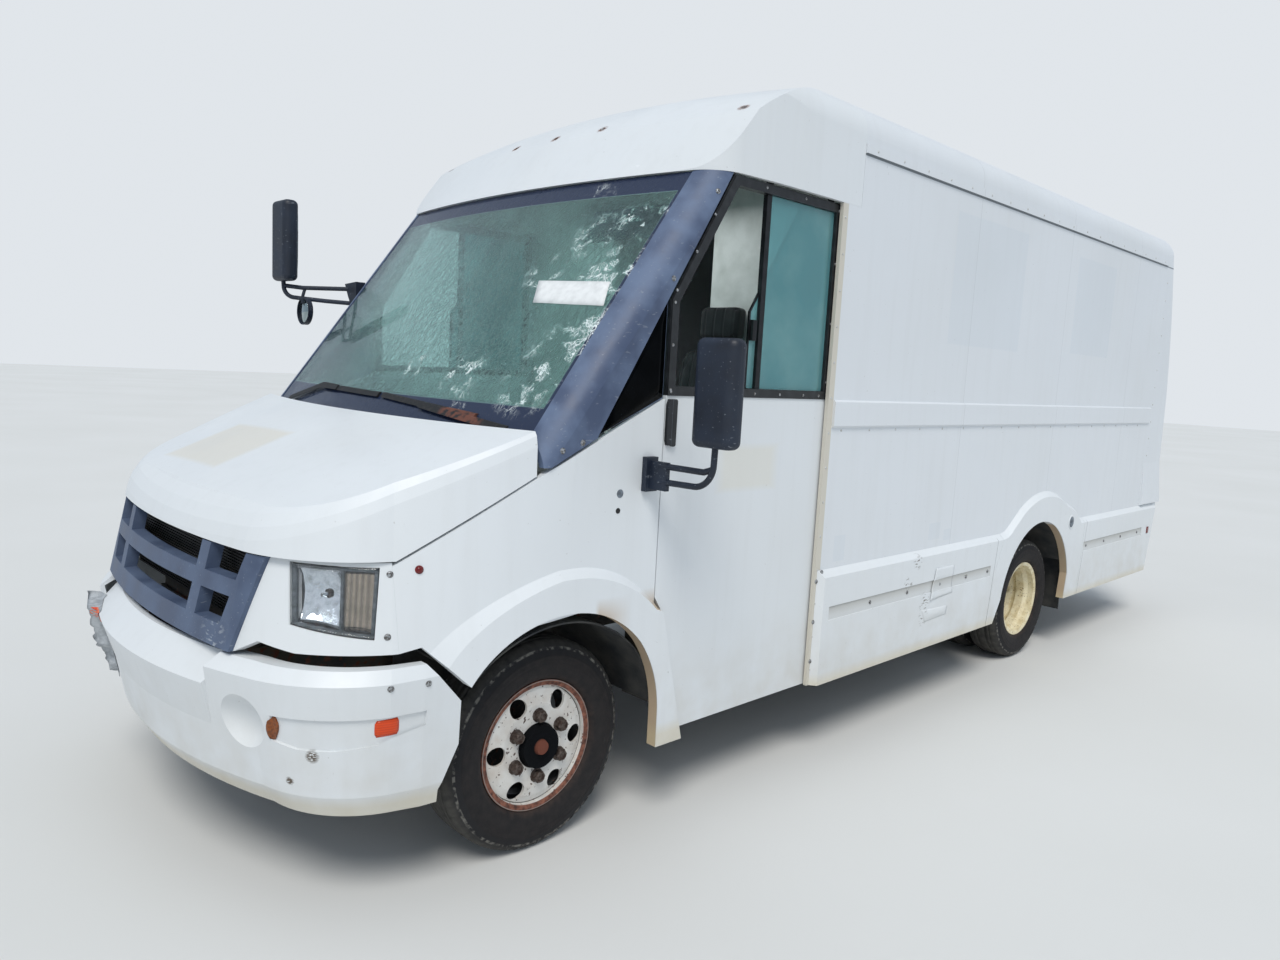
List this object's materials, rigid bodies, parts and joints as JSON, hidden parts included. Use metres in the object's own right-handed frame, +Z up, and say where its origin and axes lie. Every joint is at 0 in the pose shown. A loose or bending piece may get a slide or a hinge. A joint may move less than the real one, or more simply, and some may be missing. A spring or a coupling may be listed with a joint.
{
  "type": "walk-in delivery van",
  "caption": "Walk-in delivery van with a moulded sloping nose, sliding cab doors, a tall load box and twin rear wheels.",
  "frame": {"origin": "centre of the bounding box in plan, on the ground", "axes": "+Z up, -Y towards the front, +X towards the vehicle's left"},
  "size_m": [2.96, 7.238, 2.9249],
  "materials": {
    "white_paint": "aged white paint",
    "wheel_paint": "white enamel, rusty edge",
    "rear_wheel_paint": "yellowed enamel",
    "tyre": "worn rubber",
    "dark_plastic": "grained",
    "lamp_lens": "clear",
    "red_lens": "moulded lens",
    "window_glass": "tinted",
    "chassis_paint": "dusty black",
    "cast_metal": "cast",
    "bare_metal": "dull",
    "cab_paint": "scuffed grey",
    "seat_cover": "woven"
  },
  "bodies": {
    "chassis": {"box_sides": "white_paint", "bulkhead": "cab_paint", "bumper": "white_paint", "cab_floor": "cab_paint", "dashboard": "dark_plastic", "driver_seat": "seat_cover", "engine": "cast_metal", "engine_cover": "cab_paint", "exhaust": "bare_metal", "fenders": "white_paint", "frame_rails": "chassis_paint", "front_axle": "chassis_paint", "fuel_tank": "chassis_paint", "grille": "dark_plastic", "headlamps": "lamp_lens", "lamp_panels": "white_paint", "leaf_springs": "chassis_paint", "load_floor": "cab_paint", "mirrors": "dark_plastic", "pillar_covers": "dark_plastic", "radiator": "bare_metal", "rear_axle": "chassis_paint", "rear_bumper": "chassis_paint", "rear_door": "white_paint", "rear_frame": "white_paint", "roof": "white_paint", "roof_cap": "white_paint", "skirts": "white_paint", "step_wells": "cab_paint", "tail_lamps": "red_lens", "wheel_liners": "dark_plastic", "windscreen": "window_glass", "wipers": "dark_plastic"},
    "steer_left": {"knuckle_left": "chassis_paint"},
    "steer_right": {"knuckle_right": "chassis_paint"},
    "tie_bar": {"track_rod": "chassis_paint"},
    "wheel_front_left": {"rim_front_left": "wheel_paint", "tyre_front_left": "tyre"},
    "wheel_front_right": {"rim_front_right": "wheel_paint", "tyre_front_right": "tyre"},
    "wheels_rear_left": {"rims_rear_left": "rear_wheel_paint", "tyres_rear_left": "tyre"},
    "wheels_rear_right": {"rims_rear_right": "rear_wheel_paint", "tyres_rear_right": "tyre"},
    "cab_door_left": {"door_left": "white_paint", "door_glass_left": "window_glass"},
    "cab_door_right": {"door_right": "white_paint", "door_glass_right": "window_glass"},
    "engine_hood": {"hood": "white_paint"}
  },
  "joints": [
    {"name": "steer_left_turn", "type": "hinge", "parent": "chassis", "child": "steer_left", "pos_m": [0.745, -2.536, 0.381], "axis": [0, 0, 1], "range_deg": [-35, 35]},
    {"name": "steer_right_turn", "type": "hinge", "parent": "chassis", "child": "steer_right", "pos_m": [-0.745, -2.536, 0.381], "axis": [0, 0, 1], "range_deg": [-35, 35]},
    {"name": "tie_bar_turn", "type": "hinge", "parent": "steer_left", "child": "tie_bar", "pos_m": [0.745, -2.376, 0.278], "axis": [0, 0, 1], "range_deg": [-35, 35]},
    {"name": "front_left_spin", "type": "hinge", "parent": "steer_left", "child": "wheel_front_left", "pos_m": [0.866, -2.536, 0.381], "axis": [1, 0, 0], "continuous": true},
    {"name": "front_right_spin", "type": "hinge", "parent": "steer_right", "child": "wheel_front_right", "pos_m": [-0.866, -2.536, 0.381], "axis": [1, 0, 0], "continuous": true},
    {"name": "rear_left_spin", "type": "hinge", "parent": "chassis", "child": "wheels_rear_left", "pos_m": [0.814, 1.299, 0.381], "axis": [1, 0, 0], "continuous": true},
    {"name": "rear_right_spin", "type": "hinge", "parent": "chassis", "child": "wheels_rear_right", "pos_m": [-0.814, 1.299, 0.381], "axis": [1, 0, 0], "continuous": true},
    {"name": "door_left_slide", "type": "slide", "parent": "chassis", "child": "cab_door_left", "axis": [0, 1, 0], "range_m": [0, 0.9]},
    {"name": "door_right_slide", "type": "slide", "parent": "chassis", "child": "cab_door_right", "axis": [0, 1, 0], "range_m": [0, 0.9]},
    {"name": "hood_lift", "type": "hinge", "parent": "chassis", "child": "engine_hood", "pos_m": [0, -2.646, 1.438], "axis": [-1, 0, 0], "range_deg": [0, 35]}
  ],
  "couplings": [
    {"joint": "steer_right_turn", "follows": "steer_left_turn", "ratio": 1},
    {"joint": "tie_bar_turn", "follows": "steer_left_turn", "ratio": -1}
  ]
}
